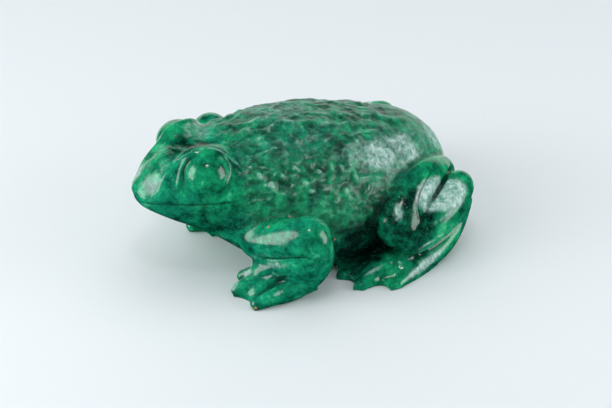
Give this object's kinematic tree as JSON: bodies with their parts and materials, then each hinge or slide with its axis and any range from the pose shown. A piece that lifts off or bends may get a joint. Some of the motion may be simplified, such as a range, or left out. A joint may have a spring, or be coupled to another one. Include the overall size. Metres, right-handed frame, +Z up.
{
  "type": "malachite toad figurine",
  "caption": "Crouching toad carved from one green stone, back left hewn and limbs polished, resting on its belly and four feet.",
  "frame": {"origin": "on the table, under the middle of the belly's flat underside", "axes": "+Z up; the toad faces -Y and its left side is +X"},
  "size_m": [0.0648, 0.0794, 0.0353],
  "materials": {
    "green_stone": "gloss"
  },
  "bodies": {
    "root": {"toad": "green_stone"}
  },
  "joints": []
}
